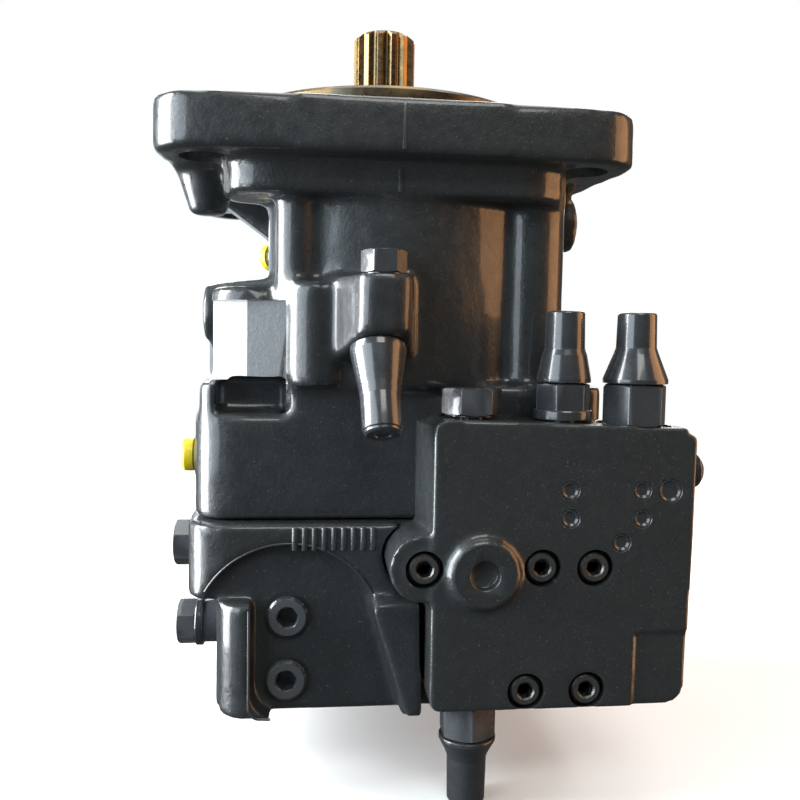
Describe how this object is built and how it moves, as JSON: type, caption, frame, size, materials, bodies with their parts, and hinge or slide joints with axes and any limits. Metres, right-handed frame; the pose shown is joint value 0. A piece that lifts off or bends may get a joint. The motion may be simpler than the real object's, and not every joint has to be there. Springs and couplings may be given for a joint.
{
  "type": "axial piston pump",
  "caption": "Variable displacement axial piston pump: splined shaft, square bolt flange, cast casing, port plate, valve block with capped adjusters, full swashplate rotating group inside.",
  "frame": {"origin": "centre of the mounting face of the four-bolt flange, on the drive shaft's axis", "axes": "+Z out along the drive shaft, away from the pump; -Y towards the control valve block; +X the pressure port's side"},
  "size_m": [0.2321, 0.2256, 0.3486],
  "materials": {
    "grey_paint": "gloss enamel over sand-cast iron",
    "bare_steel": "machined, lightly oiled",
    "ground_steel": "hardened and ground",
    "bronze": "machined bronze",
    "bearing_steel": "polished bearing steel",
    "black_oxide_steel": "black oxide, satin",
    "yellow_plastic": "moulded, satin",
    "seal_rubber": "moulded nitrile"
  },
  "bodies": {
    "housing": {"pump_housing": "grey_paint", "port_plate": "grey_paint", "control_valve_block": "grey_paint", "pressure_adjuster_body": "grey_paint", "pressure_adjuster_cap": "grey_paint", "flow_adjuster_body": "grey_paint", "flow_adjuster_cap": "grey_paint", "power_adjuster_body": "grey_paint", "power_adjuster_cap": "grey_paint", "valve_top_plug": "grey_paint", "spool_end_plug": "grey_paint", "relief_valve_plug": "grey_paint", "relief_valve_cap": "grey_paint", "side_plug_upper": "grey_paint", "side_plug_lower": "grey_paint", "port_plug_upper": "grey_paint", "port_plug_lower": "grey_paint", "block_screw_1": "black_oxide_steel", "block_screw_2": "black_oxide_steel", "block_screw_3": "black_oxide_steel", "block_screw_4": "black_oxide_steel", "block_screw_5": "black_oxide_steel", "tie_bolt_1": "black_oxide_steel", "tie_bolt_2": "black_oxide_steel", "tie_bolt_3": "black_oxide_steel", "tie_bolt_4": "black_oxide_steel", "valve_plate": "bronze", "cradle_bearing_left": "bronze", "cradle_bearing_right": "bronze", "front_bearing_cup": "bearing_steel", "rear_bearing": "bearing_steel", "transport_plug": "yellow_plastic", "shaft_seal": "seal_rubber"},
    "shaft": {"drive_shaft": "bare_steel", "cylinder_barrel": "bronze", "retaining_ball": "ground_steel", "front_bearing_cone": "bearing_steel"},
    "swash": {"swashplate": "ground_steel"},
    "retainer": {"retaining_plate": "bronze"},
    "stroke_plunger": {"stroking_piston": "ground_steel"},
    "counter_plunger": {"counter_piston": "ground_steel"},
    "spool": {"control_spool": "ground_steel"},
    "shoe_1": {"slipper_1": "bronze"},
    "plunger_1": {"piston_1": "ground_steel"},
    "shoe_2": {"slipper_2": "bronze"},
    "plunger_2": {"piston_2": "ground_steel"},
    "shoe_3": {"slipper_3": "bronze"},
    "plunger_3": {"piston_3": "ground_steel"},
    "shoe_4": {"slipper_4": "bronze"},
    "plunger_4": {"piston_4": "ground_steel"},
    "shoe_5": {"slipper_5": "bronze"},
    "plunger_5": {"piston_5": "ground_steel"},
    "shoe_6": {"slipper_6": "bronze"},
    "plunger_6": {"piston_6": "ground_steel"},
    "shoe_7": {"slipper_7": "bronze"},
    "plunger_7": {"piston_7": "ground_steel"},
    "shoe_8": {"slipper_8": "bronze"},
    "plunger_8": {"piston_8": "ground_steel"},
    "shoe_9": {"slipper_9": "bronze"},
    "plunger_9": {"piston_9": "ground_steel"}
  },
  "joints": [
    {"name": "shaft_spin", "type": "hinge", "parent": "housing", "child": "shaft", "pos_m": [0, 0, 0], "axis": [0, 0, 1], "continuous": true},
    {"name": "swash_tilt", "type": "hinge", "parent": "housing", "child": "swash", "pos_m": [0, 0, -0.08], "axis": [1, 0, 0], "range_deg": [-17, 0], "stiffness_Nm_per_rad": 4, "springref_deg": 8.59},
    {"name": "retainer_spin", "type": "hinge", "parent": "swash", "child": "retainer", "pos_m": [0, 0, -0.08], "axis": [0, -0.2924, 0.9563], "continuous": true},
    {"name": "shoe_swivel_1", "type": "hinge", "parent": "retainer", "child": "shoe_1", "pos_m": [0, 0.03666, -0.06879], "axis": [0, -0.2924, 0.9563], "continuous": true},
    {"name": "piston_pivot_1", "type": "hinge", "parent": "shoe_1", "child": "plunger_1", "pos_m": [0, 0.03666, -0.06879], "axis": [1, 0, 0], "range_deg": [0, 17]},
    {"name": "shoe_swivel_2", "type": "hinge", "parent": "retainer", "child": "shoe_2", "pos_m": [-0.02464, 0.02808, -0.07141], "axis": [0, -0.2924, 0.9563], "continuous": true},
    {"name": "piston_pivot_2", "type": "hinge", "parent": "shoe_2", "child": "plunger_2", "pos_m": [-0.02464, 0.02808, -0.07141], "axis": [1, 0, 0], "range_deg": [0, 17]},
    {"name": "shoe_swivel_3", "type": "hinge", "parent": "retainer", "child": "shoe_3", "pos_m": [-0.03776, 0.00637, -0.07805], "axis": [0, -0.2924, 0.9563], "continuous": true},
    {"name": "piston_pivot_3", "type": "hinge", "parent": "shoe_3", "child": "plunger_3", "pos_m": [-0.03776, 0.00637, -0.07805], "axis": [1, 0, 0], "range_deg": [0, 17]},
    {"name": "shoe_swivel_4", "type": "hinge", "parent": "retainer", "child": "shoe_4", "pos_m": [-0.0332, -0.01833, -0.0856], "axis": [0, -0.2924, 0.9563], "continuous": true},
    {"name": "piston_pivot_4", "type": "hinge", "parent": "shoe_4", "child": "plunger_4", "pos_m": [-0.0332, -0.01833, -0.0856], "axis": [1, 0, 0], "range_deg": [0, 17]},
    {"name": "shoe_swivel_5", "type": "hinge", "parent": "retainer", "child": "shoe_5", "pos_m": [-0.01311, -0.03445, -0.09053], "axis": [0, -0.2924, 0.9563], "continuous": true},
    {"name": "piston_pivot_5", "type": "hinge", "parent": "shoe_5", "child": "plunger_5", "pos_m": [-0.01311, -0.03445, -0.09053], "axis": [1, 0, 0], "range_deg": [0, 17]},
    {"name": "shoe_swivel_6", "type": "hinge", "parent": "retainer", "child": "shoe_6", "pos_m": [0.01311, -0.03445, -0.09053], "axis": [0, -0.2924, 0.9563], "continuous": true},
    {"name": "piston_pivot_6", "type": "hinge", "parent": "shoe_6", "child": "plunger_6", "pos_m": [0.01311, -0.03445, -0.09053], "axis": [1, 0, 0], "range_deg": [0, 17]},
    {"name": "shoe_swivel_7", "type": "hinge", "parent": "retainer", "child": "shoe_7", "pos_m": [0.0332, -0.01833, -0.0856], "axis": [0, -0.2924, 0.9563], "continuous": true},
    {"name": "piston_pivot_7", "type": "hinge", "parent": "shoe_7", "child": "plunger_7", "pos_m": [0.0332, -0.01833, -0.0856], "axis": [1, 0, 0], "range_deg": [0, 17]},
    {"name": "shoe_swivel_8", "type": "hinge", "parent": "retainer", "child": "shoe_8", "pos_m": [0.03776, 0.00637, -0.07805], "axis": [0, -0.2924, 0.9563], "continuous": true},
    {"name": "piston_pivot_8", "type": "hinge", "parent": "shoe_8", "child": "plunger_8", "pos_m": [0.03776, 0.00637, -0.07805], "axis": [1, 0, 0], "range_deg": [0, 17]},
    {"name": "shoe_swivel_9", "type": "hinge", "parent": "retainer", "child": "shoe_9", "pos_m": [0.02464, 0.02808, -0.07141], "axis": [0, -0.2924, 0.9563], "continuous": true},
    {"name": "piston_pivot_9", "type": "hinge", "parent": "shoe_9", "child": "plunger_9", "pos_m": [0.02464, 0.02808, -0.07141], "axis": [1, 0, 0], "range_deg": [0, 17]},
    {"name": "stroke_slide", "type": "slide", "parent": "housing", "child": "stroke_plunger", "axis": [0, 0, 1], "range_m": [0, 0.0196]},
    {"name": "counter_slide", "type": "slide", "parent": "housing", "child": "counter_plunger", "axis": [0, 0, 1], "range_m": [-0.017, 0]},
    {"name": "spool_slide", "type": "slide", "parent": "housing", "child": "spool", "axis": [1, 0, 0], "range_m": [-0.003, 0.003], "stiffness_N_per_m": 900}
  ],
  "couplings": [
    {"joint": "retainer_spin", "follows": "shaft_spin", "ratio": 1},
    {"joint": "shoe_swivel_1", "follows": "shaft_spin", "ratio": -1},
    {"joint": "piston_pivot_1", "follows": "swash_tilt", "ratio": -1},
    {"joint": "shoe_swivel_2", "follows": "shaft_spin", "ratio": -1},
    {"joint": "piston_pivot_2", "follows": "swash_tilt", "ratio": -1},
    {"joint": "shoe_swivel_3", "follows": "shaft_spin", "ratio": -1},
    {"joint": "piston_pivot_3", "follows": "swash_tilt", "ratio": -1},
    {"joint": "shoe_swivel_4", "follows": "shaft_spin", "ratio": -1},
    {"joint": "piston_pivot_4", "follows": "swash_tilt", "ratio": -1},
    {"joint": "shoe_swivel_5", "follows": "shaft_spin", "ratio": -1},
    {"joint": "piston_pivot_5", "follows": "swash_tilt", "ratio": -1},
    {"joint": "shoe_swivel_6", "follows": "shaft_spin", "ratio": -1},
    {"joint": "piston_pivot_6", "follows": "swash_tilt", "ratio": -1},
    {"joint": "shoe_swivel_7", "follows": "shaft_spin", "ratio": -1},
    {"joint": "piston_pivot_7", "follows": "swash_tilt", "ratio": -1},
    {"joint": "shoe_swivel_8", "follows": "shaft_spin", "ratio": -1},
    {"joint": "piston_pivot_8", "follows": "swash_tilt", "ratio": -1},
    {"joint": "shoe_swivel_9", "follows": "shaft_spin", "ratio": -1},
    {"joint": "piston_pivot_9", "follows": "swash_tilt", "ratio": -1},
    {"joint": "stroke_slide", "follows": "swash_tilt", "m_per_rad": -0.0655},
    {"joint": "counter_slide", "follows": "swash_tilt", "m_per_rad": 0.0556}
  ]
}
